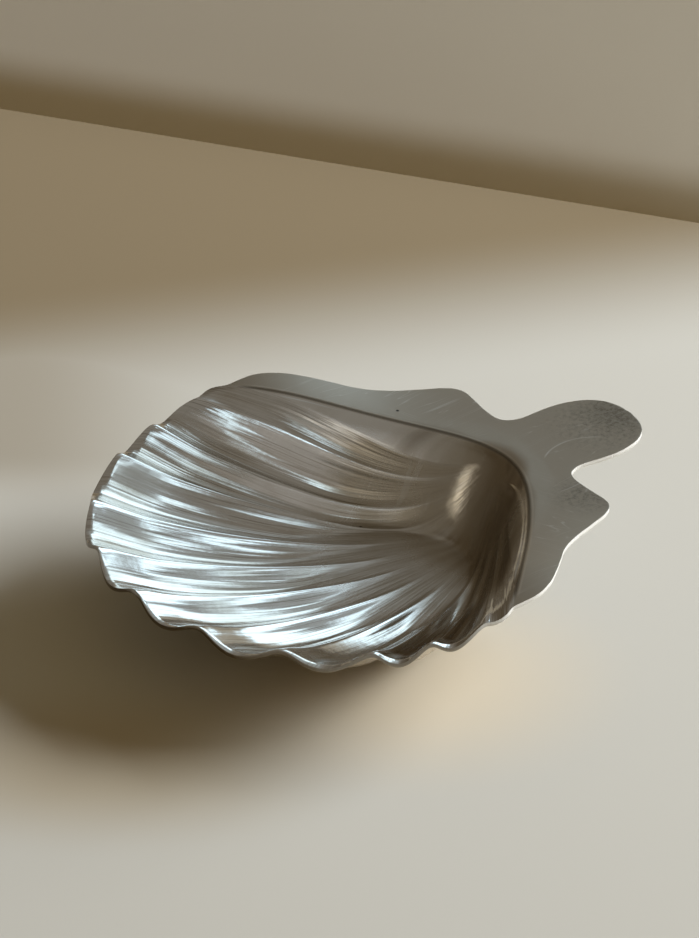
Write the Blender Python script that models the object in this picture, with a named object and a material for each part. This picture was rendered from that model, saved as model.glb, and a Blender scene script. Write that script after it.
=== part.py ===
# Scallop trinket dish: one pressed sheet with a ribbed bowl, a smooth hinge hollow,
# a flat border with two pointed ears, and a rounded thumb tab.
# Metres. +X to the thumb tab, +Z up, base on z = 0, mirrored about y = 0.
import math

import bpy
import numpy as np

for thing in list(bpy.context.scene.objects):
    bpy.data.objects.remove(thing, do_unlink=True)

# Named sizes
bowl_radius = 0.0514
bowl_depth = 0.0188
sheet = 0.0009
rib_depth = 0.0031
tab_length = 0.0236
tab_width = 0.0214
hinge_bend = 0.0190
hinge_wall = 0.0150
shoulder_rise = 0.0033
lobe_bulge = 0.0009

# Plan of the bowl, as parts of the bowl radius
centre_x = bowl_radius * 0.996
apex_x = bowl_radius * 1.774
umbo_x = bowl_radius * 1.770
spread = 0.96
wall_power = 2.5
apex_half = bowl_radius * 0.311
side_swell = bowl_radius * 0.012

# Heights
fall_power = 2.4
lift_x = bowl_radius * 1.284
lift_width = bowl_radius * 0.272
lift_from = bowl_radius * 0.292
lift_run = bowl_radius * 0.681
side_dip = bowl_radius * 0.016
level = bowl_depth * 0.950
level_blend = bowl_depth * 0.016
rib_start = 0.12
rib_full = 0.55
crest_round = 0.42

# Rib crests round the rim, in degrees from the front: three wide lobes, then three narrow
crest_angle = np.array([0.0, 20.4, 41.2, 61.8, 75.2, 88.6, 97.4])
crest_index = np.arange(7.0)

# Half outline of the border from the last rib round to the tab, in bowl radii
border = np.array([
    (1.216, 0.984), (1.311, 0.942), (1.391, 0.875), (1.463, 0.802), (1.556, 0.708),
    (1.654, 0.646), (1.770, 0.595), (1.864, 0.551), (1.901, 0.510), (1.907, 0.471),
    (1.903, 0.428), (1.895, 0.311), (1.907, 0.245),
])
# The tab beyond the notch, x as a part of its length and y as a part of half its width
tab = np.array([(0.085, 1.02), (0.190, 0.97), (0.470, 1.0), (0.690, 0.93), (0.868, 0.73),
                (0.968, 0.40), (1.0, 0.0)])

wave_steps = (0.0, 0.07, 0.18, 0.33, 0.50, 0.67, 0.82, 0.93)
run_steps = (0.0, 0.018, 0.038, 0.062, 0.09, 0.125, 0.17, 0.23, 0.31, 0.39, 0.48, 0.55,
             0.63, 0.72, 0.81, 0.90, 1.0)
border_steps = (0.34, 0.68, 1.0)
ear_share = 0.44


def ease(value):
    value = np.clip(value, 0.0, 1.0)
    return value * value * (3.0 - 2.0 * value)


def wave(index):
    swing = np.sin(math.pi * index)
    top = math.sqrt(1.0 + crest_round ** 2) - crest_round
    return (np.sqrt(swing * swing + crest_round ** 2) - crest_round) / top


def rim(index):
    angle = np.radians(np.interp(index, crest_index, crest_angle))
    reach = bowl_radius + lobe_bulge * wave(index) + side_swell * np.sin(1.5 * angle) ** 2
    return centre_x - reach * np.cos(angle), reach * np.sin(angle)


def crease_x(side):
    return apex_x - spread * (np.sqrt(side * side + hinge_bend * hinge_bend) - hinge_bend)


def crease_gap(x, side):
    bend = np.sqrt(side * side + hinge_bend * hinge_bend)
    slope = spread * side / bend
    return (crease_x(side) - x) / np.sqrt(1.0 + slope * slope)


def rib_place(x, side):
    along = x - umbo_x
    reach = np.maximum(np.hypot(along, side), 1e-9)
    ux = along / reach
    uy = side / reach
    back = umbo_x - centre_x
    half = ux * back
    whole = np.sqrt(half * half - (back * back - bowl_radius ** 2)) - half
    angle = np.arctan2(whole * uy, -(back + whole * ux))
    index = np.interp(np.degrees(angle), crest_angle, crest_index)
    return index, reach / whole, angle


def lift(x, side):
    hump = np.exp(-((x - lift_x) / lift_width) ** 2 / 2.0)
    return shoulder_rise * hump * ease((side - lift_from) / lift_run)


def plain_height(x, side):
    index, run, angle = rib_place(x, side)
    near = np.clip(crease_gap(x, side) / hinge_wall, 0.0, 1.0)
    sink = 1.0 - (1.0 - near) ** wall_power * (1.0 + wall_power * near)
    run = np.clip(run, 0.0, 1.0)
    bowl = -bowl_depth * sink * (1.0 - run ** fall_power)
    dip = -side_dip * np.sin(2.0 * np.clip(angle, 0.0, math.pi / 2)) ** 2 * run * run * sink
    return bowl + dip + lift(x, side)


def height(x, side):
    index, run, angle = rib_place(x, side)
    near = np.clip(crease_gap(x, side) / hinge_wall, 0.0, 1.0)
    sink = 1.0 - (1.0 - near) ** wall_power * (1.0 + wall_power * near)
    size = np.interp(index, [0.0, 3.0, 6.0], [1.0, 0.88, 0.68])
    grow = ease((run - rib_start) / (rib_full - rib_start))
    raw = plain_height(x, side) - rib_depth * size * grow * wave(index) * sink
    share = np.clip(0.5 + 0.5 * (raw + level) / level_blend, 0.0, 1.0)
    return -level * (1.0 - share) + raw * share + level_blend * share * (1.0 - share)


def smooth_line(points, count_at):
    # Monotone curve through the points, read at the given parts of its length
    gaps = np.hypot(np.diff(points[:, 0]), np.diff(points[:, 1]))
    place = np.concatenate([[0.0], np.cumsum(gaps)])
    place = place / place[-1]
    out = []
    for axis in range(2):
        value = points[:, axis]
        step = np.diff(value) / np.diff(place)
        before = step[:-1]
        after = step[1:]
        both = before * after > 0.0
        safe = np.where(both, before + after, 1.0)
        slope = np.zeros(len(value))
        slope[1:-1] = np.where(both, 2.0 * before * after / safe, 0.0)
        slope[0] = step[0]
        slope[-1] = step[-1]
        spot = np.clip(np.searchsorted(place, count_at, side="right") - 1, 0, len(value) - 2)
        width = place[spot + 1] - place[spot]
        part = (count_at - place[spot]) / width
        cube = part ** 3
        square = part ** 2
        first = value[spot] * (2.0 * cube - 3.0 * square + 1.0)
        last = value[spot + 1] * (3.0 * square - 2.0 * cube)
        lead = slope[spot] * width * (cube - 2.0 * square + part)
        tail = slope[spot + 1] * width * (cube - square)
        out.append(first + last + lead + tail)
    return out[0], out[1]


# Half columns from the front rib to the last one, then mirrored
half = [lobe + step for lobe in range(6) for step in wave_steps] + [6.0]
columns = np.array([-value for value in half[:0:-1]] + half)
runs = np.array(run_steps)

corner_x, corner_y = rim(np.array([6.0]))
corner_x = crease_x(corner_y)
corner = (float(corner_x[0]), float(corner_y[0]))


def arm(run):
    side = apex_half + (corner[1] - apex_half) * run
    return crease_x(side), side


def bowl_point(index, run):
    rim_x, rim_y = rim(index)
    rim_x = rim_x + (corner[0] - rim(np.array([6.0]))[0][0]) * np.clip(index - 5.0, 0.0, 1.0)
    root_y = apex_half * index / 6.0
    root_x = crease_x(root_y)
    pull = (1.0 - run) ** 5
    x = umbo_x + (rim_x - umbo_x) * run + (root_x - umbo_x) * pull
    y = rim_y * run + root_y * pull
    end_y = apex_half
    last_x = umbo_x + (corner[0] - umbo_x) * run + (crease_x(end_y) - umbo_x) * pull
    last_y = corner[1] * run + end_y * pull
    arm_x, arm_y = arm(run)
    share = np.clip((index - 4.0) / 2.0, 0.0, 1.0) ** 2
    return x + (arm_x - last_x) * share, y + (arm_y - last_y) * share


plan = []
faces = []
grid = {}
for i, index in enumerate(columns):
    for j, run in enumerate(runs):
        x, y = bowl_point(np.array([abs(index)]), run)
        grid[i, j] = len(plan)
        plan.append((float(x[0]), float(y[0]) * (1.0 if index > 0 else -1.0)))
last_i = len(columns) - 1
last_j = len(runs) - 1
for i in range(last_i):
    for j in range(last_j):
        ring = [grid[i, j], grid[i + 1, j], grid[i + 1, j + 1], grid[i, j + 1]]
        # Turned by one on one side, so both halves are cut into triangles alike
        faces.append(tuple(ring if columns[i] >= 0 else ring[1:] + ring[:1]))

# Border: strips from the crease out to the outline, shared corner points at the last ribs
chain = [grid[0, j] for j in range(last_j, 0, -1)]
share = [ear_share * (1.0 - runs[j]) for j in range(last_j, 0, -1)]
side = [-1.0] * len(chain)
for i, index in enumerate(columns):
    chain.append(grid[i, 0])
    share.append(1.0 - (1.0 - ear_share) * abs(index) / 6.0)
    side.append(1.0 if index > 0 else -1.0)
for j in range(1, last_j + 1):
    chain.append(grid[last_i, j])
    share.append(ear_share * (1.0 - runs[j]))
    side.append(1.0)
notch_x = border[-1, 0] * bowl_radius
tab_part = np.stack([notch_x + tab[:, 0] * tab_length, tab[:, 1] * tab_width / 2], axis=1)
outline = np.concatenate([[corner], border * bowl_radius, tab_part])
out_x, out_y = smooth_line(outline, np.array(share))

rows = [chain]
for step in border_steps:
    row = []
    for k, start in enumerate(chain):
        if k in (0, len(chain) - 1):
            row.append(start)
            continue
        x0, y0 = plan[start]
        row.append(len(plan))
        plan.append((x0 + (out_x[k] - x0) * step, y0 + (out_y[k] * side[k] - y0) * step))
    rows.append(row)
for low, high in zip(rows, rows[1:]):
    for k in range(len(chain) - 1):
        ring = [low[k], high[k], high[k + 1], low[k + 1]]
        ring = ring if side[k + 1] > 0 else ring[1:] + ring[:1]
        kept = [p for n, p in enumerate(ring) if p not in ring[:n]]
        if len(kept) > 2:
            faces.append(tuple(kept))

plan = np.array(plan)
x = plan[:, 0]
y = plan[:, 1]
top = np.stack([x, y, height(x, np.abs(y))], axis=1)

# The sheet is thickened along the normal of the plain bowl, so ribs keep one thickness
tiny = bowl_radius * 0.0005
slope_x = (plain_height(x + tiny, np.abs(y)) - plain_height(x - tiny, np.abs(y))) / (2 * tiny)
slope_y = (plain_height(x, np.abs(y + tiny)) - plain_height(x, np.abs(y - tiny))) / (2 * tiny)
normal = np.stack([-slope_x, -slope_y, np.ones(len(x))], axis=1)
normal /= np.linalg.norm(normal, axis=1)[:, None]

# Edge loop: round the front rim, then back along the border outline
loop = [grid[i, last_j] for i in range(last_i + 1)]
loop = loop + rows[-1][-2:0:-1]
edge = top[loop]
ahead = np.roll(edge, -1, axis=0) - np.roll(edge, 1, axis=0)
outward = np.cross(ahead, normal[loop])
outward /= np.linalg.norm(outward, axis=1)[:, None]
turn = np.sum(outward[:, :2] * (edge[:, :2] - edge[:, :2].mean(axis=0)))
outward *= 1.0 if turn > 0 else -1.0

under = top - normal * sheet
points = [top, under]
size = len(top)
for degrees in (60.0, 120.0):
    swing = math.radians(degrees)
    push = outward * math.sin(swing) - normal[loop] * (1.0 - math.cos(swing))
    points.append(edge + push * sheet / 2)
points = np.concatenate(points)

all_faces = list(faces)
all_faces += [tuple(size + p for p in reversed(face)) for face in faces]
count = len(loop)
bands = [loop, list(range(2 * size, 2 * size + count)),
         list(range(2 * size + count, 2 * size + 2 * count)), [size + p for p in loop]]
for upper, lower in zip(bands, bands[1:]):
    for k in range(count):
        n = (k + 1) % count
        all_faces.append((upper[k], upper[n], lower[n], lower[k]))

# Level foot: everything below it is pressed flat, then the base is set on z = 0
foot = -level - sheet * 0.97
points[:, 2] = np.maximum(points[:, 2], foot) - foot
points[:, 0] -= (points[:, 0].min() + points[:, 0].max()) / 2

mesh = bpy.data.meshes.new("dish")
mesh.from_pydata([tuple(map(float, p)) for p in points], [], all_faces)
mesh.update()
dish = bpy.data.objects.new("dish", mesh)
bpy.context.scene.collection.objects.link(dish)

metal = bpy.data.materials.new("plated_metal")
metal.use_nodes = True
shader = metal.node_tree.nodes["Principled BSDF"]
shader.inputs["Base Color"].default_value = (0.62, 0.60, 0.57, 1.0)
shader.inputs["Metallic"].default_value = 1.0
shader.inputs["Roughness"].default_value = 0.25
mesh.materials.append(metal)
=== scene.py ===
import math

import bpy
from mathutils import Matrix, Quaternion, Vector


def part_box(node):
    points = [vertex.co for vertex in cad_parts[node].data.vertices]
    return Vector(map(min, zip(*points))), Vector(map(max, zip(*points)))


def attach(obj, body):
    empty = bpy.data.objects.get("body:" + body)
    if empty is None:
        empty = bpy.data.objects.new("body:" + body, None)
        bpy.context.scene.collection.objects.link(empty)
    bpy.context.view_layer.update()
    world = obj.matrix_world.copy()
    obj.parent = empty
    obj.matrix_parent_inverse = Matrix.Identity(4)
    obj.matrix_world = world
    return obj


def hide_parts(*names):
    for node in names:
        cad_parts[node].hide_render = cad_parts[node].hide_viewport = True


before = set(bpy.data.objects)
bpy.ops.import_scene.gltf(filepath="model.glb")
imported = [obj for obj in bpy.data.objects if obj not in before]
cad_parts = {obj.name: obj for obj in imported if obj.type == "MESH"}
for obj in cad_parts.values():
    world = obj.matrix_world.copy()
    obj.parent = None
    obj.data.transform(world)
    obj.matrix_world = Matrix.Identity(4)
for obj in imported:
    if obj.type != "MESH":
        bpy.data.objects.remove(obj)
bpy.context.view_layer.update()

bl_info = {
    "name": "Scallop Trinket Dish",
    "version": (1, 0, 0),
    "blender": (4, 5, 0),
    "location": "View3D > Sidebar > Dish",
    "description": "Builds a pressed scallop dish in worn silver plate, with its studio stage",
    "category": "Object",
}

dish_low, dish_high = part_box("dish")

# Rib crests round the rim, in degrees from the front, numbered in this order
CREST_ANGLES = (0.0, 20.4, 41.2, 61.8, 75.2, 88.6, 97.4)
LAST_RIB = len(CREST_ANGLES) - 1

# How round the crests are, where 0 is a sharp crest
CREST_ROUND = 0.42
# Slope of the crease's two arms, and how fast the side's swell turns round the rim
CREASE_SLOPE = 0.96
SWELL_TURN = 1.5
# Heights of the bead along a crest and of the fold at the crease
BEAD = 0.00030
FOLD = 0.00042
# Growth of the rim and of the outline, in halves of the sheet's thickness
RIM_GROWTH = 0.28
OUTLINE_GROWTH = 0.85
# Part of the border's outline that lies along the bowl's arms, the rest going round the hinge
ARM_SHARE = 0.44
# Part of the sheet's thickness that is left where the dish stands
FOOT_SHARE = 0.97
# Points closer than this are one
WELD = 1e-6

# Colours of the marks of wear on the plate, and of the painted highlights and shade on its crests,
# crease and edge
CREST_WEAR_AND_HIGHLIGHT = (0.94, 0.94, 0.93)
MOTTLE = (0.19, 0.165, 0.13)
BROWN_STREAK = (0.27, 0.22, 0.16)
HAIR_SCRATCH = (0.95, 0.94, 0.92)
CURVED_SCRATCH = (0.95, 0.93, 0.90)
BLACK_SPECK = (0.02, 0.02, 0.02)
CREASE_SHADE = (0.11, 0.09, 0.06)
CREASE_HIGHLIGHT = (0.93, 0.90, 0.83)
RIM_EDGE_SHADE = (0.14, 0.115, 0.08)
EDGE_HIGHLIGHT = (0.97, 0.96, 0.93)

# The room as the metal sees it, brighter than 1 where it shines
LEFT_WALL = (0.30, 0.28, 0.25)
SILL = (1.9, 1.95, 1.9)
LAMPS = (1.7, 1.65, 1.5)

# Camera: what it looks at, the picture's height and aim in px, the scale, the sensor in mm
LOOK_AT = Vector((0.0019, 0.0148, 0.0187))
PICTURE_HEIGHT = 938
AIM_DOWN = 2.3
METRES_PER_PIXEL = 0.2 / 0.983 / 1000.0
SENSOR = 36.0

# Half outline of the border from the last rib to the notch beside the tab, in bowl radii
BORDER = (
    (1.216, 0.984), (1.311, 0.942), (1.391, 0.875), (1.463, 0.802), (1.556, 0.708),
    (1.654, 0.646), (1.770, 0.595), (1.864, 0.551), (1.901, 0.510), (1.907, 0.471),
    (1.903, 0.428), (1.895, 0.311), (1.907, 0.245),
)
# The tab beyond the notch: part of its length, part of half its width
TAB = (
    (0.085, 1.02), (0.190, 0.97), (0.470, 1.0), (0.690, 0.93), (0.868, 0.73),
    (0.968, 0.40), (1.0, 0.0),
)


class Value:
    """A number socket of a node tree, with the usual operators adding Math nodes."""

    def __init__(self, tree, socket):
        self.tree = tree
        self.socket = socket

    def math(self, operation, *values, clamp=False):
        settings = {"operation": operation, "use_clamp": clamp}
        return self.tree.node("ShaderNodeMath", settings, self, *values).value()

    def __add__(self, other):
        return self.math("ADD", other)

    def __radd__(self, other):
        return self.math("ADD", other)

    def __sub__(self, other):
        return self.math("SUBTRACT", other)

    def __rsub__(self, other):
        return self.tree.number("SUBTRACT", other, self)

    def __mul__(self, other):
        return self.math("MULTIPLY", other)

    def __rmul__(self, other):
        return self.math("MULTIPLY", other)

    def __truediv__(self, other):
        return self.math("DIVIDE", other)

    def __neg__(self):
        return self.math("MULTIPLY", -1.0)

    def __pow__(self, other):
        return self.math("POWER", other)

    def __abs__(self):
        return self.math("ABSOLUTE")

    def at_least(self, other):
        return self.math("MAXIMUM", other)

    def at_most(self, other):
        return self.math("MINIMUM", other)

    def root(self):
        return self.math("SQRT")

    def sine(self):
        return self.math("SINE")

    def cosine(self):
        return self.math("COSINE")

    def power_e(self):
        return self.math("EXPONENT")

    def clamped(self):
        return self.math("ADD", 0.0, clamp=True)

    def ramp(self, start, end, kind="SMOOTHSTEP", low=0.0, high=1.0):
        """Runs from low to high while this value runs from start to end."""
        settings = {"interpolation_type": kind, "clamp": True}
        sockets = {"Value": self, "From Min": start, "From Max": end, "To Min": low, "To Max": high}
        return self.tree.node("ShaderNodeMapRange", settings, **sockets).value("Result")

    def mix(self, low, high):
        """low where this value is 0, high where it is 1."""
        return low + (high - low) * self


class Made:
    """A node that was just added, and its outputs."""

    def __init__(self, tree, node):
        self.tree = tree
        self.node = node

    def out(self, name=0):
        return self.node.outputs[name]

    def value(self, name=0):
        return Value(self.tree, self.node.outputs[name])


class Tree:
    """A node tree that is filled one call at a time."""

    def __init__(self, tree):
        self.tree = tree
        self.count = 0

    def link(self, value, socket):
        if isinstance(value, Value):
            value = value.socket
        if isinstance(value, Made):
            value = value.out()
        if isinstance(value, bpy.types.NodeSocket):
            self.tree.links.new(value, socket)
        else:
            socket.default_value = value

    def node(self, kind, settings=None, *values, **named):
        made = self.tree.nodes.new(kind)
        made.location = (180 * (self.count // 8), -160 * (self.count % 8))
        self.count += 1
        for name, value in (settings or {}).items():
            setattr(made, name, value)
        for socket, value in zip(made.inputs, values):
            self.link(value, socket)
        for name, value in named.items():
            self.link(value, made.inputs[name.replace("_", " ")])
        return Made(self, made)

    def number(self, operation, *values):
        return self.node("ShaderNodeMath", {"operation": operation}, *values).value()

    def vector(self, x=0.0, y=0.0, z=0.0):
        return self.node("ShaderNodeCombineXYZ", None, x, y, z)

    def split(self, vector):
        parts = self.node("ShaderNodeSeparateXYZ", None, vector)
        return parts.value("X"), parts.value("Y"), parts.value("Z")

    def mix_colour(self, share, low, high):
        """low where the share is 0, high where it is 1."""
        made = self.tree.nodes.new("ShaderNodeMix")
        made.data_type = "RGBA"
        self.link(share, made.inputs[0])
        for given, socket in ((low, made.inputs[6]), (high, made.inputs[7])):
            if isinstance(given, bpy.types.NodeSocket):
                self.link(given, socket)
            else:
                socket.default_value = (*given, 1.0)
        return made.outputs[2]

    def curve(self, value, points, low, high):
        """A smooth curve through (place, height) points, scaled from low to high."""
        made = self.tree.nodes.new("ShaderNodeFloatCurve")
        line = made.mapping.curves[0]
        while len(line.points) < len(points):
            line.points.new(0.5, 0.5)
        for point, (place, height) in zip(line.points, sorted(points)):
            point.location = (place, (height - low) / (high - low))
            point.handle_type = "AUTO_CLAMPED"
        made.mapping.update()
        self.link(value, made.inputs["Value"])
        return Value(self, made.outputs["Value"]) * (high - low) + low


# Shape rules, used both by the geometry tree and by the metal's shader


def crease_line(side, s):
    bend = (side * side + s["hinge_bend"] * s["hinge_bend"]).root()
    return s["hinge_x"] - (bend - s["hinge_bend"]) * CREASE_SLOPE, side / bend * CREASE_SLOPE


def crease_gap(x, side, s):
    """Distance inside the crease between the bowl and its border."""
    line, slope = crease_line(side, s)
    return (line - x) / (slope * slope + 1.0).root()


def rib_place(x, side, s):
    """Rib number, part of the way from the hinge to the rim, and angle round the rim."""
    along = x - s["umbo_x"]
    reach = (along * along + side * side).root().at_least(1e-6)
    ux = along / reach
    uy = side / reach
    back = s["umbo_x"] - s["centre_x"]
    half = ux * back
    whole = (half * half - (back * back - s["bowl_radius"] * s["bowl_radius"])).root() - half
    angle = (whole * uy).math("ARCTAN2", (whole * ux + back) * -1.0) * (180.0 / math.pi)
    rib = None
    for low, high in zip(CREST_ANGLES, CREST_ANGLES[1:]):
        step = angle.ramp(low, high, "LINEAR")
        rib = step if rib is None else rib + step
    return rib, reach / whole, angle


def crest_angle(rib):
    angle = None
    for number, (low, high) in enumerate(zip(CREST_ANGLES, CREST_ANGLES[1:])):
        step = rib.ramp(number, number + 1, "LINEAR", 0.0, math.radians(high - low))
        angle = step if angle is None else angle + step
    return angle


def wave(rib, crest_round):
    """0 on a crest and 1 in the middle of a groove."""
    swing = (rib * math.pi).sine()
    top = math.sqrt(1.0 + crest_round ** 2) - crest_round
    return ((swing * swing + crest_round ** 2).root() - crest_round) / top


def grown(points, by):
    """The outline moved outwards by a distance."""
    out = []
    for n, (x, y) in enumerate(points):
        ax, ay = points[max(n - 1, 0)]
        bx, by_ = points[min(n + 1, len(points) - 1)]
        dx, dy = bx - ax, by_ - ay
        if n == len(points) - 1:
            dx, dy = 0.0, -1.0
        size = math.hypot(dx, dy)
        out.append((x - dy / size * by, y + dx / size * by))
    return out


# Sizes and colours that a user would change


def length(name, about, default):
    return bpy.props.FloatProperty(
        name=name, description=about, default=default, min=0.0, unit="LENGTH", precision=5
    )


def colour(name, about, default):
    return bpy.props.FloatVectorProperty(
        name=name, description=about, default=default, size=3, min=0.0, soft_max=1.0,
        subtype="COLOR",
    )


def share(name, about, default):
    return bpy.props.FloatProperty(
        name=name, description=about, default=default, min=0.0, max=1.0, subtype="FACTOR"
    )


class DishShape(bpy.types.PropertyGroup):
    """Sizes of the pressed sheet."""

    bowl_radius: length("Bowl Radius", "Radius of the scalloped rim in plan", 0.0514)
    bowl_depth: length("Bowl Depth", "Depth of the bowl below its rim", 0.0188)
    sheet: length("Sheet", "Thickness of the metal sheet", 0.0009)
    rib_depth: length("Rib Depth", "Depth of a groove between two rib crests", 0.0031)
    tab_length: length("Tab Length", "Length of the thumb tab beyond the notches", 0.0236)
    tab_width: length("Tab Width", "Width of the thumb tab", 0.0214)
    hinge_bend: length("Hinge Bend", "Bend radius of the crease at the hinge", 0.0190)
    hinge_wall: length("Hinge Wall", "Run of the wall below the crease", 0.0150)
    shoulder_rise: length("Shoulder Rise", "Height of the border's raised shoulders", 0.00328)
    lobe_bulge: length("Lobe Bulge", "How far each lobe stands out from the rim circle", 0.0009)
    columns: bpy.props.IntProperty(
        name="Columns", description="Mesh points round the rim", default=385, min=49
    )
    rows: bpy.props.IntProperty(
        name="Rows", description="Mesh points from the crease to the rim", default=86, min=12
    )
    border_rows: bpy.props.IntProperty(
        name="Border Rows", description="Mesh points across the border", default=13, min=3
    )


class DishFinish(bpy.types.PropertyGroup):
    """Colours and wear of the plate."""

    silver: colour("Silver", "Clean polished plate", (0.80, 0.79, 0.77))
    tarnish: colour("Tarnish", "Warm film in the hollows", (0.50, 0.44, 0.35))
    border: colour("Border", "Satin metal of the flat border", (0.585, 0.535, 0.46))
    satin: share("Satin", "Roughness of the flat border", 0.34)
    polish: share("Polish", "Roughness of the rubbed bowl", 0.09)


class StageLook(bpy.types.PropertyGroup):
    """Table, ledge, light and camera."""

    floor: colour("Table", "Colour of the table", (0.62, 0.615, 0.58))
    dusk: colour("Table Dusk", "Colour of the table towards the ledge", (0.27, 0.215, 0.14))
    warm: colour("Table Glow", "Colour of the table below the bowl", (0.78, 0.67, 0.50))
    shade: colour("Table Shade", "Colour of the table at the shadow's rim", (0.50, 0.41, 0.27))
    wall: colour("Ledge", "Colour of the ledge behind the table", (0.62, 0.56, 0.45))
    ledge: length("Ledge Height", "Height of the ledge behind the table", 0.054)
    daylight: colour("Daylight", "Daylight on the ledge", (0.125, 0.125, 0.115))
    window: colour("Window", "Window as the metal sees it", (1.42, 1.80, 2.02))
    room: colour("Room", "Rest of the room as the metal sees it", (0.20, 0.183, 0.155))
    corner: colour("Corner", "Dark side of the room as the metal sees it", (0.095, 0.075, 0.05))
    fill: colour("Fill", "Even light of the room", (0.178, 0.134, 0.072))
    power: bpy.props.FloatProperty(
        name="Window Power", description="Power of the window lamp", default=102.0, min=0.0,
        unit="POWER",
    )
    azimuth: bpy.props.FloatProperty(
        name="Azimuth", description="Camera angle round the dish", default=math.radians(-34.8),
        subtype="ANGLE",
    )
    elevation: bpy.props.FloatProperty(
        name="Elevation", description="Camera angle above the table",
        default=math.radians(31.9), subtype="ANGLE",
    )
    roll: bpy.props.FloatProperty(
        name="Roll", description="Camera tilt to the side", default=math.radians(0.546),
        subtype="ANGLE",
    )
    lens: bpy.props.FloatProperty(
        name="Lens", description="Focal length of the camera", default=1000.0, min=20.0,
        unit="CAMERA",
    )


# Geometry tree of the dish

PLAN_SIZES = ("bowl_radius", "tab_length", "tab_width", "hinge_bend")
TREE_SIZES = ("bowl_depth", "sheet", "rib_depth", "hinge_wall", "shoulder_rise", "lobe_bulge")
TREE_COUNTS = ("columns", "rows", "border_rows")


def label(name):
    return name.replace("_", " ").title()


def shape_values(shape, given=None):
    """The free sizes and what follows from them; given holds sockets that replace some."""
    s = {name: getattr(shape, name) for name in PLAN_SIZES + TREE_SIZES}
    s["edge"] = shape.sheet / 2
    s.update(given or {})
    radius = s["bowl_radius"]
    s.update(
        centre_x=radius * 0.996, hinge_x=radius * 1.774, umbo_x=radius * 1.770,
        root_half=radius * 0.311, side_swell=radius * 0.012, lift_x=radius * 1.284,
        lift_width=radius * 0.272, lift_from=radius * 0.292, lift_run=radius * 0.681,
        side_dip=radius * 0.016, level=s["bowl_depth"] * 0.950,
        level_blend=s["bowl_depth"] * 0.045,
    )
    return s


def outline_points(s):
    radius = s["bowl_radius"]
    notch = BORDER[-1][0] * radius
    points = [(x * radius, y * radius) for x, y in BORDER]
    points += [(notch + x * s["tab_length"], y * s["tab_width"] / 2) for x, y in TAB]
    return points


def corner_point(s):
    """Where the crease meets the border's outline, at the last rib, and the rim's own x there."""
    angle = math.radians(CREST_ANGLES[-1])
    reach = s["bowl_radius"] + s["side_swell"] * math.sin(SWELL_TURN * angle) ** 2
    y = reach * math.sin(angle)
    bend = s["hinge_bend"]
    x = s["hinge_x"] - CREASE_SLOPE * (math.hypot(y, bend) - bend)
    return x, y, s["centre_x"] - reach * math.cos(angle)


def plan_place(tree, u, run, across, s):
    """Plan position for a place round the dish, along its ribs and across its border."""
    edge = s["edge"]
    turn = abs(u)
    rib = turn * LAST_RIB
    corner_x, corner_y, corner_rim = corner_point(s)
    angle = crest_angle(rib)
    swell = (angle * SWELL_TURN).sine()
    reach = wave(rib, CREST_ROUND) * s["lobe_bulge"] + swell * swell * s["side_swell"] + s["bowl_radius"]
    reach = reach + run ** 6 * edge * RIM_GROWTH
    late = (rib - (LAST_RIB - 1)).clamped()
    rim_x = s["centre_x"] - reach * angle.cosine() + late * (corner_x - corner_rim)
    rim_y = reach * angle.sine()
    root_y = turn * s["root_half"]
    root_x = crease_line(root_y, s)[0]
    pull = (1.0 - run) ** 5
    x = (rim_x - s["umbo_x"]) * run + (root_x - s["umbo_x"]) * pull + s["umbo_x"]
    y = rim_y * run + root_y * pull
    bend = s["hinge_bend"]
    end_y = s["root_half"]
    end_x = s["hinge_x"] - CREASE_SLOPE * (math.hypot(end_y, bend) - bend)
    last_x = run * (corner_x - s["umbo_x"]) + pull * (end_x - s["umbo_x"]) + s["umbo_x"]
    last_y = run * corner_y + pull * end_y
    arm_y = run * (corner_y - end_y) + end_y
    arm_x = crease_line(arm_y, s)[0]
    blend = ((rib - (LAST_RIB - 2)) / 2.0).clamped()
    blend = blend * blend
    x = x + (arm_x - last_x) * blend
    y = y + (arm_y - last_y) * blend
    points = [(corner_x, corner_y)] + grown(outline_points(s), edge * OUTLINE_GROWTH)
    ways = [0.0]
    for (ax, ay), (bx, by) in zip(points, points[1:]):
        ways.append(ways[-1] + math.hypot(bx - ax, by - ay))
    ways = [way / ways[-1] for way in ways]
    place = 1.0 - turn * (1.0 - ARM_SHARE) - run * ARM_SHARE
    xs = [point[0] for point in points]
    ys = [point[1] for point in points]
    out_x = tree.curve(place, list(zip(ways, xs)), min(xs), max(xs))
    out_y = tree.curve(place, list(zip(ways, ys)), 0.0, max(ys))
    x = across.mix(x, out_x)
    y = across.mix(y, out_y)
    return x, y * u.math("SIGN")


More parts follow.
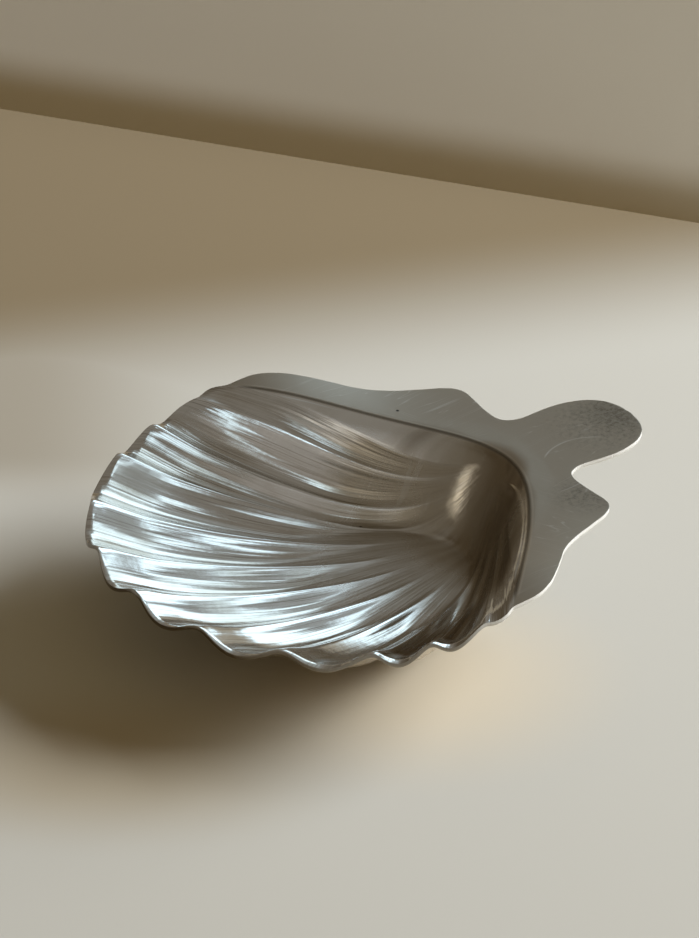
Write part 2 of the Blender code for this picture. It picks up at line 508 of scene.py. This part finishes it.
def heights(x, side, s):
    """Height of the plain bowl, and of the ribbed one."""
    rib, run, angle = rib_place(x, side, s)
    near = 1.0 - (crease_gap(x, side, s) / s["hinge_wall"]).clamped()
    sink = 1.0 - near ** 2.5 * ((1.0 - near) * 2.5 + 1.0)
    run = run.clamped()
    hump = (x - s["lift_x"]) / s["lift_width"]
    lift = (hump * hump * -0.5).power_e() * s["shoulder_rise"]
    lift = lift * ((side - s["lift_from"]) / s["lift_run"]).ramp(0.0, 1.0)
    bowl = sink * (1.0 - run ** 2.4) * s["bowl_depth"]
    dip = (angle.at_least(0.0).at_most(90.0) * (math.pi / 90.0)).sine()
    dip = dip * dip * run * run * sink * s["side_dip"]
    plain = lift - bowl - dip
    size = rib.ramp(0.0, 3.0, "LINEAR", 1.0, 0.88) + rib.ramp(3.0, 6.0, "LINEAR", 0.0, -0.20)
    groove = run.ramp(0.12, 0.55) * wave(rib, CREST_ROUND) * size * sink * s["rib_depth"]
    # Grooves fade out where the bowl nears the level it stands on
    room = (plain + s["level"]).at_least(0.0) + 0.0001
    groove = groove * room / (groove * groove + room * room).root()
    raw = plain - groove
    # A fine bead stands along each crest, and the crease is a crisp fold
    gap = crease_gap(x, side, s)
    swing = abs((rib * math.pi).sine())
    bead = (swing * -4.5).power_e() * run.ramp(0.25, 0.6) * run.ramp(1.0, 0.96)
    raw = raw + bead * gap.ramp(0.0, 0.0015) * BEAD
    raw = raw - gap.ramp(0.0, 0.0008, "LINEAR") * run.ramp(0.98, 0.85) * FOLD
    part = ((raw + s["level"]) / s["level_blend"] * 0.5 + 0.5).clamped()
    ribbed = part.mix(-s["level"], raw)
    return plain, ribbed + part * (1.0 - part) * s["level_blend"]


def dish_tree(shape, metal):
    group = bpy.data.node_groups.new("Scallop dish", "GeometryNodeTree")
    face = group.interface
    for name in TREE_SIZES:
        face.new_socket(label(name), socket_type="NodeSocketFloat")
    for name in TREE_COUNTS:
        face.new_socket(label(name), socket_type="NodeSocketInt")
    face.new_socket("Geometry", in_out="OUTPUT", socket_type="NodeSocketGeometry")
    tree = Tree(group)
    given = tree.node("NodeGroupInput")
    s = shape_values(shape, {name: given.value(label(name)) for name in TREE_SIZES})
    columns, rows, border_rows = (given.value(label(name)) for name in TREE_COUNTS)
    chain = (rows - 1) * 2 + columns

    def grid(across, along):
        settings = {"Size X": 1.0, "Size Y": 1.0, "Vertices X": across, "Vertices Y": along}
        made = tree.node("GeometryNodeMeshGrid", None)
        for name, value in settings.items():
            tree.link(value, made.node.inputs[name])
        return made

    def placed(mesh, position):
        return tree.node("GeometryNodeSetPosition", None, Geometry=mesh, Position=position)

    here = tree.node("GeometryNodeInputPosition")
    px, py, pz = tree.split(here)

    # Bowl patch: columns round the rim, rows from the crease out along the ribs
    bowl = grid(columns, rows)
    bowl = placed(bowl, tree.vector(px * 2.0, (py + 0.5), 0.0))

    # Border patch: its inner edge runs along the bowl's two arms and its hinge
    border = grid(chain, border_rows)
    step = (px + 0.5) * (chain - 1)
    step = step.math("ROUND")
    far = (rows - 1 - step) / (rows - 1)
    close = (step - (rows - 1 + columns - 1)) / (rows - 1)
    arm = far.at_least(close).at_least(0.0)
    round_hinge = ((step - (rows - 1)) / (columns - 1)).clamped() * 2.0 - 1.0
    border = placed(border, tree.vector(round_hinge, arm, (py + 0.5)))
    border = tree.node("GeometryNodeFlipFaces", None, Mesh=border)
    both = tree.node("GeometryNodeJoinGeometry")
    tree.tree.links.new(border.out(), both.node.inputs[0])
    tree.tree.links.new(bowl.out(), both.node.inputs[0])

    # Rows crowd towards the rim and the outline, so that the sheet's edge stays crisp
    run = 1.0 - (1.0 - py ** 1.5).at_least(0.0) ** 1.5
    across = 1.0 - (1.0 - pz).at_least(0.0) ** 1.6
    x, y = plan_place(tree, px, run, across, s)
    flat = placed(both, tree.vector(x, y, 0.0))
    merge = tree.node("GeometryNodeMergeByDistance", None, Geometry=flat, Distance=WELD)
    plain, ribbed = heights(px, abs(py), s)
    smooth = placed(merge, tree.vector(px, py, plain))
    keep = tree.node("GeometryNodeCaptureAttribute", {"domain": "POINT"})
    keep.node.capture_items.new("VECTOR", "Face out")
    tree.link(smooth, keep.node.inputs[0])
    # At the two corners, where the faces run to a point, the sheet's thickness goes straight up
    corner_x, corner_y = corner_point(s)[:2]
    off_x = px - corner_x
    off_y = abs(py) - corner_y
    corner = (off_x * off_x + off_y * off_y).root().ramp(0.0016, 0.0004)
    nx, ny, nz = tree.split(tree.node("GeometryNodeInputNormal"))
    flat_x = nx * (1.0 - corner)
    flat_y = ny * (1.0 - corner)
    even = tree.vector(flat_x, flat_y, corner.mix(nz, 1.0))
    even = tree.node("ShaderNodeVectorMath", {"operation": "NORMALIZE"}, even)
    tree.link(even, keep.node.inputs[1])
    out = keep.node.outputs[1]
    top = placed(keep.out(0), tree.vector(px, py, ribbed))
    under = tree.node("ShaderNodeVectorMath", {"operation": "SCALE"}, out)
    tree.link(-s["sheet"], under.node.inputs["Scale"])
    low = placed(top, here)
    tree.link(under, low.node.inputs["Offset"])
    back = tree.node("GeometryNodeFlipFaces", None, Mesh=low)
    pushed = tree.node("GeometryNodeExtrudeMesh", {"mode": "FACES"}, Mesh=low, Offset=out)
    tree.link(s["sheet"], pushed.node.inputs["Offset Scale"])
    pushed.node.inputs["Individual"].default_value = False
    whole = tree.node("GeometryNodeJoinGeometry")
    tree.tree.links.new(back.out(), whole.node.inputs[0])
    tree.tree.links.new(pushed.out("Mesh"), whole.node.inputs[0])
    closed = tree.node("GeometryNodeMergeByDistance", None, Geometry=whole, Distance=WELD)
    foot = -s["level"] - s["sheet"] * FOOT_SHARE
    pressed = placed(closed, tree.vector(px, py, pz.at_least(foot)))
    shaded = tree.node("GeometryNodeSetShadeSmooth", None, Geometry=pressed)
    real = tree.node("GeometryNodeRealizeInstances", None, Geometry=shaded)
    done = tree.node("GeometryNodeSetMaterial", None, Geometry=real)
    done.node.inputs["Material"].default_value = metal
    tree.node("NodeGroupOutput", None, done)
    return group


def plain_mesh(source, name):
    """The evaluated object as a plain mesh in a new object at the origin."""
    bpy.context.view_layer.update()
    seen = source.evaluated_get(bpy.context.evaluated_depsgraph_get())
    mesh = bpy.data.meshes.new_from_object(seen)
    mesh.name = name
    made = bpy.data.objects.new(name, mesh)
    bpy.context.scene.collection.objects.link(made)
    old = source.data
    bpy.data.objects.remove(source, do_unlink=True)
    bpy.data.meshes.remove(old)
    return made


def plan_shift(s):
    """How far the design's plan lies from the frame's, along X."""
    return BORDER[-1][0] * s["bowl_radius"] + s["tab_length"] + s["edge"] - dish_high.x


def plate_metal(shape, finish):
    """Silver plate with handling wear and painted light: rubbed ribs with a painted highlight along the
    crests, warm film in the hollows, satin border, painted shade and highlight along the crease and at
    the sheet's edge.
    """
    metal = bpy.data.materials.new("Worn silver plate")
    metal.use_nodes = True
    tree = Tree(metal.node_tree)
    shader = metal.node_tree.nodes["Principled BSDF"]
    s = shape_values(shape)
    place = tree.node("ShaderNodeTexCoord")
    x, y, z = tree.split(place.out("Object"))
    nz = tree.split(tree.node("ShaderNodeNewGeometry").out("Normal"))[2]
    side = abs(y)
    long = x + plan_shift(s)
    rib, run = rib_place(long, side, s)[:2]
    swing = wave(rib, CREST_ROUND)
    gap = crease_gap(long, side, s)
    bowl = gap.ramp(-0.0002, 0.0008)
    turn = rib * y.math("SIGN")

    def noise(size, x, y, z=0.0, detail=3.0, rough=0.5, warp=0.0):
        made = tree.node(
            "ShaderNodeTexNoise", None, tree.vector(x, y, z), Scale=1.0 / size, Detail=detail,
            Roughness=rough, Distortion=warp,
        )
        return made.value("Fac")

    def spot(at_x, at_y, radius, soft):
        dx = x - at_x
        dy = y - at_y
        return (dx * dx + dy * dy).root().ramp(radius + soft, radius)

    cloud = noise(0.016, x, y, z, 4.0, 0.55)
    fine = noise(0.0011, x, y, z, 3.0, 0.6)
    # Streaks run along the ribs, as the metal was drawn and rubbed
    streak = noise(0.05, turn, run * 0.14, 0.0, 5.0, 0.62)
    thin = noise(0.012, turn, run * 0.05, 1.7, 3.0, 0.55)
    along = noise(0.0020, x * 0.06 + y * 0.01, y - x * 0.12, 0.0, 1.0, 0.4)
    across = noise(0.0017, x * 0.9 + y * 0.4, (y * 0.9 - x * 0.4) * 0.06, 0.4, 1.0, 0.4)
    patch = noise(0.012, x, y, 5.0, 2.0, 0.5)
    hairs = abs(along - 0.5).ramp(0.012, 0.0) * patch.ramp(0.46, 0.62)
    hairs = (hairs + abs(across - 0.5).ramp(0.010, 0.0) * patch.ramp(0.52, 0.40)).clamped()
    hairs = hairs * (1.0 - bowl * 0.75)

    hollow = gap.ramp(0.020, 0.006) * bowl * run.ramp(0.62, 0.40)
    film = cloud.ramp(0.40, 0.72) * 0.45 + swing.ramp(0.35, 1.0) * streak.ramp(0.35, 0.62) * 0.35
    film = (film + hollow * 0.9).clamped()
    speck = noise(0.0009, x, y, 3.0, 6.0, 0.8)
    tip = spot(0.0560, 0.0, 0.003, 0.014) * speck.ramp(0.42, 0.68)
    ear = spot(0.0355, -0.021, 0.001, 0.009) * speck.ramp(0.44, 0.68)
    smudge = spot(0.0600, 0.001, 0.001, 0.012) * 0.45 + spot(0.0355, -0.021, 0.0, 0.010) * 0.25
    mottle = (((tip + ear) * 0.7 + smudge) * (1.0 - bowl)).clamped()
    # Light bands follow the crests: rubbed wear and a painted highlight along each crest
    rubbed = swing.ramp(0.14, 0.0) * bowl * run.ramp(0.15, 0.4) * streak.ramp(0.3, 0.6)

    tone = tree.mix_colour(film, finish.silver, finish.tarnish)
    tone = tree.mix_colour((1.0 - bowl) * 0.9, tone, finish.border)
    tone = tree.mix_colour(rubbed * 0.75, tone, CREST_WEAR_AND_HIGHLIGHT)
    tone = tree.mix_colour(mottle * 0.75, tone, MOTTLE)
    tone = tree.mix_colour(thin.ramp(0.53, 0.68) * bowl * 0.6, tone, BROWN_STREAK)
    tone = tree.mix_colour(hairs * 0.4, tone, HAIR_SCRATCH)
    # One curved scratch on the border's middle, and two black specks
    mark = abs(((x - 0.0440) ** 2 + (y + 0.0124) ** 2).root() - 0.01066).ramp(0.00026, 0.00006)
    mark = mark * y.ramp(-0.0050, -0.0035)
    tone = tree.mix_colour(mark * 0.5, tone, CURVED_SCRATCH)
    specks = spot(0.0219, 0.0266, 0.00022, 0.00020) + spot(0.0069, 0.0178, 0.00018, 0.00020)
    tone = tree.mix_colour(specks.clamped() * 0.9, tone, BLACK_SPECK)
    # Painted shade: a dark line in the crease, with a painted highlight, a light line, beside it
    crease_shade = abs(gap - 0.00010).ramp(0.00050, 0.00012) * run.ramp(0.98, 0.92)
    crease_highlight = abs(gap + 0.00065).ramp(0.00035, 0.0) * run.ramp(0.98, 0.92)
    tone = tree.mix_colour(crease_shade * 0.65, tone, CREASE_SHADE)
    tone = tree.mix_colour(crease_highlight * 0.35, tone, CREASE_HIGHLIGHT)
    # Painted highlight: the cut edge of the sheet is painted pale and less metallic
    cut = nz.ramp(0.75, 0.45) * nz.ramp(-0.5, -0.2)
    rim = run.ramp(0.985, 0.995) * bowl
    edge = cut * (1.0 - bowl + rim * x.ramp(-0.020, 0.004)).clamped()
    # Towards the front the rim's edge is painted dark, painted shade for the shadowed table that it
    # reflects
    tone = tree.mix_colour(cut * rim * x.ramp(0.0, -0.020) * 0.85, tone, RIM_EDGE_SHADE)
    tone = tree.mix_colour(edge, tone, EDGE_HIGHLIGHT)
    under = nz.ramp(0.0, -0.2)
    tone = tree.mix_colour(under * 0.6, tone, finish.tarnish)
    tree.link(tone, shader.inputs["Base Color"])

    rough = bowl.mix(finish.satin, finish.polish) + streak.ramp(0.35, 0.75, "LINEAR") * 0.06
    rough = rough + cloud.ramp(0.4, 0.7) * 0.05 + mottle * 0.15 - hollow * 0.07 + under * 0.15
    # Satin where the ribs run out into the middle of the bowl
    middle = run.ramp(0.15, 0.27) * run.ramp(0.60, 0.36)
    rough = rough + hairs * 0.10 - edge * 0.15 + middle * 0.20 + mark * 0.15
    tree.link(rough.at_least(0.06).at_most(0.7), shader.inputs["Roughness"])

    drawn = noise(0.10, turn, run * 0.16, 6.0, 1.0, 0.4) * run.ramp(0.2, 0.45) * bowl
    height = streak * bowl * 0.000016 + drawn * 0.00013 + thin * bowl * 0.000004 + cloud * 0.0001
    height = height + fine * 0.000003 - hairs * 0.000003
    bump = tree.node("ShaderNodeBump", None, Strength=1.0, Distance=1.0, Height=height)
    tree.link(bump, shader.inputs["Normal"])
    tree.link(1.0 - edge * 0.55, shader.inputs["Metallic"])
    return metal


class OBJECT_OT_dish_body(bpy.types.Operator):
    """Builds the pressed dish from its shape rule"""

    bl_idname = "object.dish_body"
    bl_label = "Dish"

    def execute(self, context):
        shape = context.scene.dish_shape
        metal = plate_metal(shape, context.scene.dish_finish)
        group = dish_tree(shape, metal)
        mesh = bpy.data.meshes.new("dish base")
        source = bpy.data.objects.new("dish base", mesh)
        context.scene.collection.objects.link(source)
        nodes = source.modifiers.new("Scallop", "NODES")
        nodes.node_group = group
        for item in group.interface.items_tree:
            if item.in_out == "INPUT":
                nodes[item.identifier] = getattr(shape, item.name.replace(" ", "_").lower())
        edge = source.modifiers.new("Edge", "BEVEL")
        edge.width = shape.sheet * 0.42
        edge.segments = 3
        edge.limit_method = "ANGLE"
        edge.angle_limit = math.radians(55)
        dish = plain_mesh(source, "scallop_dish")
        if not dish.data.polygons:
            raise RuntimeError("the dish came out empty")
        shift = plan_shift(shape_values(shape))
        low = min(v.co.z for v in dish.data.vertices)
        for v in dish.data.vertices:
            v.co.x -= shift
            v.co.z += dish_low.z - low
        dish.data.materials.clear()
        dish.data.materials.append(metal)
        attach(dish, "root")
        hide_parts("dish")
        return {"FINISHED"}


def lamp(name, where, aim, size, power, tint):
    light = bpy.data.lights.new(name, "AREA")
    light.shape = "RECTANGLE"
    light.size, light.size_y = size
    light.energy = power
    light.color = tint
    made = bpy.data.objects.new(name, light)
    bpy.context.scene.collection.objects.link(made)
    made.location = where
    made.rotation_euler = (Vector(aim) - Vector(where)).to_track_quat("-Z", "Y").to_euler()
    return made


def sheet_object(name, corners, material):
    mesh = bpy.data.meshes.new(name)
    mesh.from_pydata([tuple(corner) for corner in corners], [], [(0, 1, 2, 3)])
    mesh.materials.append(material)
    made = bpy.data.objects.new(name, mesh)
    bpy.context.scene.collection.objects.link(made)
    return made


def plain_paint(name, colour, roughness):
    paint = bpy.data.materials.new(name)
    paint.use_nodes = True
    shader = paint.node_tree.nodes["Principled BSDF"]
    shader.inputs["Base Color"].default_value = (*colour, 1.0)
    shader.inputs["Roughness"].default_value = roughness
    shader.inputs["Specular IOR Level"].default_value = 0.2
    return paint


def room_light(look):
    """A dim warm room with one tall cool window, as the metal sees it."""
    world = bpy.data.worlds.new("Room")
    world.use_nodes = True
    tree = Tree(world.node_tree)
    background = world.node_tree.nodes["Background"]
    place = tree.node("ShaderNodeTexCoord")
    x, y, z = tree.split(place.out("Generated"))
    turn = y.math("ARCTAN2", x) * (180.0 / math.pi)
    rise = z.math("ARCSINE") * (180.0 / math.pi)

    def between(value, start, full, late, end):
        return value.ramp(start, full) * (1.0 - value.ramp(late, end))

    window = between(turn, 11, 16, 40, 46) * between(rise, 0, 4, 30, 37)
    panes = between(turn, -6, -3, 7, 11) * between(rise, 28, 31, 42, 46)
    panes = panes + between(turn, -26, -22, -16, -12) * between(rise, 42, 44, 50, 53)
    panes = panes + between(turn, -52, -47, -38, -33) * between(rise, 48, 50, 57, 60)
    second = between(turn, -102, -95, -84, -77) * between(rise, 36, 40, 46, 51)
    dark = between(turn, 58, 74, 128, 178) * between(rise, -20, -5, 46, 66)
    left = between(turn, -172, -140, -112, -90) * between(rise, -10, 10, 30, 50)
    seen = tree.mix_colour(left, look.room, LEFT_WALL)
    seen = tree.mix_colour(dark, seen, look.corner)
    sky = between(turn, -70, -50, 44, 54) * between(rise, 4, 10, 46, 62)
    seen = tree.mix_colour(sky * 0.10, seen, look.window)
    seen = tree.mix_colour((second * 0.7 + panes * 0.9 + window).clamped(), seen, look.window)
    # Low bright sill that edges and rib flanks catch
    sill = between(turn, -16, -11, 4, 9) * between(rise, 1, 4, 13, 18)
    seen = tree.mix_colour(sill, seen, SILL)
    strip = between(turn, -136, -133.5, -130.5, -128) * between(rise, 26, 31, 42, 48)
    lamp_a = between(turn, 164, 168, 173, 177) * between(rise, 7, 10, 14, 17)
    lamp_b = between(turn, -158, -151, -146, -139) * between(rise, 12, 18, 22, 28)
    seen = tree.mix_colour(strip * 0.9, seen, look.window)
    glow = (lamp_a + lamp_b * 0.35).clamped()
    seen = tree.mix_colour(glow, seen, LAMPS)
    path = tree.node("ShaderNodeLightPath")
    shown = tree.mix_colour(path.value("Is Glossy Ray"), look.fill, seen)
    tree.link(shown, background.inputs["Color"])
    background.inputs["Strength"].default_value = 1.0
    return world


class OBJECT_OT_dish_stage(bpy.types.Operator):
    """Sets the table, the ledge, the room's light and the camera"""

    bl_idname = "object.dish_stage"
    bl_label = "Stage"

    def execute(self, context):
        look = context.scene.dish_stage
        azimuth = look.azimuth
        elevation = look.elevation
        right = Vector((math.cos(azimuth), math.sin(azimuth), 0.0))
        away = Vector((-math.sin(azimuth), math.cos(azimuth), 0.0))
        back = away * -math.cos(elevation) + Vector((0, 0, math.sin(elevation)))
        up = back.cross(right)
        # The table lies a hair below the dish, so that the two don't flicker
        below = 0.0002
        foot = Vector((LOOK_AT.x, LOOK_AT.y, dish_low.z - below))

        far = 12.0
        signs = ((-1, -1), (1, -1), (1, 1), (-1, 1))
        corners = [(far * x, far * y, foot.z) for x, y in signs]
        table = plain_paint("Pale table", look.floor, 0.6)
        tree = Tree(table.node_tree)
        x, y = tree.split(tree.node("ShaderNodeTexCoord").out("Object"))[:2]
        x = x - LOOK_AT.x
        y = y - LOOK_AT.y
        side = x * right.x + y * right.y
        depth = x * away.x + y * away.y
        # Painted shadow of the ledge: the table is painted darker towards the ledge and to the left, as
        # the ledge casts none
        left = side.ramp(-0.020, -0.070) * depth.ramp(0.010, 0.035) * 0.58
        dusk = (depth - side * 0.27).ramp(0.058, 0.116).at_least(left)
        paint = tree.mix_colour(dusk, look.floor, look.dusk)

        def patch(at_side, at_depth, long, wide):
            across = (side - at_side) / long
            down = (depth - at_depth) / wide
            return (across * across + down * down).root().ramp(1.2, 0.2)

        # Warm light thrown down by the bowl, and the warm rim of its shadow
        paint = tree.mix_colour(patch(0.010, -0.050, 0.044, 0.040) * 0.75, paint, look.warm)
        paint = tree.mix_colour(patch(-0.052, -0.084, 0.050, 0.030) * 0.6, paint, look.shade)
        tree.link(paint, table.node_tree.nodes["Principled BSDF"].inputs["Base Color"])
        sheet_object("Table", corners, table)

        # Low ledge behind the table, as seen across the top of the picture
        distance = 0.149
        slant = 0.297
        half_length = 1.2
        base = foot + away * distance
        run = (right - away * slant).normalized()
        start = base - run * half_length
        end = base + run * half_length
        lift = Vector((0, 0, look.ledge))
        corners = [start, end, end + lift, start + lift]
        paint = plain_paint("Pale ledge", look.wall, 0.7)
        tree = Tree(paint.node_tree)
        z = tree.split(tree.node("ShaderNodeTexCoord").out("Object"))[2]
        shader = paint.node_tree.nodes["Principled BSDF"]
        # The ledge glows with painted daylight, none at its foot, which reads as painted shade
        sky = tree.mix_colour(z.ramp(0.004, 0.016), (0.0, 0.0, 0.0), look.daylight)
        tree.link(sky, shader.inputs["Emission Color"])
        shader.inputs["Emission Strength"].default_value = 1.0
        # Seen from behind, the ledge is clear, so that it hides nothing
        behind = tree.node("ShaderNodeNewGeometry").out("Backfacing")
        open_side = tree.node("ShaderNodeBsdfTransparent").out()
        whole = tree.node("ShaderNodeMixShader", None, behind, shader.outputs[0], open_side)
        tree.link(whole, paint.node_tree.nodes["Material Output"].inputs["Surface"])
        ledge = sheet_object("Ledge", corners, paint)
        ledge.visible_shadow = False

        context.scene.world = room_light(look)
        towards = Vector((0.936, -0.082, 0.342))
        distance = 2.0
        size = (1.5, 0.8)
        cool = (0.96, 0.99, 1.0)
        window = lamp("Window", towards * distance, (0, 0, 0), size, look.power, cool)
        window.visible_glossy = False

        camera = bpy.data.cameras.new("Camera")
        camera.lens = look.lens
        camera.sensor_width = SENSOR
        made = bpy.data.objects.new("Camera", camera)
        context.scene.collection.objects.link(made)
        aim = LOOK_AT - up * AIM_DOWN * METRES_PER_PIXEL
        made.location = aim + back * (PICTURE_HEIGHT * METRES_PER_PIXEL * look.lens / SENSOR)
        made.rotation_mode = "QUATERNION"
        turn = Matrix((right, up, back)).transposed().to_quaternion()
        made.rotation_quaternion = turn @ Quaternion((0, 0, 1), look.roll)
        camera.clip_end = 30.0
        context.scene.camera = made
        context.scene.view_settings.view_transform = "Standard"
        return {"FINISHED"}


class VIEW3D_PT_dish(bpy.types.Panel):
    """The dish's sizes, finish and stage"""

    bl_label = "Scallop Dish"
    bl_space_type = "VIEW_3D"
    bl_region_type = "UI"
    bl_category = "Dish"

    def draw(self, context):
        for name in ("dish_shape", "dish_finish", "dish_stage"):
            group = getattr(context.scene, name)
            column = self.layout.column()
            for prop in group.bl_rna.properties:
                if prop.identifier not in {"rna_type", "name"}:
                    column.prop(group, prop.identifier)
        self.layout.operator("object.dish_body")
        self.layout.operator("object.dish_stage")


CLASSES = (
    DishShape, DishFinish, StageLook, OBJECT_OT_dish_body, OBJECT_OT_dish_stage, VIEW3D_PT_dish,
)


def register():
    for kind in CLASSES:
        bpy.utils.register_class(kind)
    bpy.types.Scene.dish_shape = bpy.props.PointerProperty(type=DishShape)
    bpy.types.Scene.dish_finish = bpy.props.PointerProperty(type=DishFinish)
    bpy.types.Scene.dish_stage = bpy.props.PointerProperty(type=StageLook)


def unregister():
    del bpy.types.Scene.dish_stage
    del bpy.types.Scene.dish_finish
    del bpy.types.Scene.dish_shape
    for kind in reversed(CLASSES):
        bpy.utils.unregister_class(kind)


def main():
    register()
    bpy.ops.object.dish_body()
    bpy.ops.object.dish_stage()


if __name__ == "__main__":
    main()
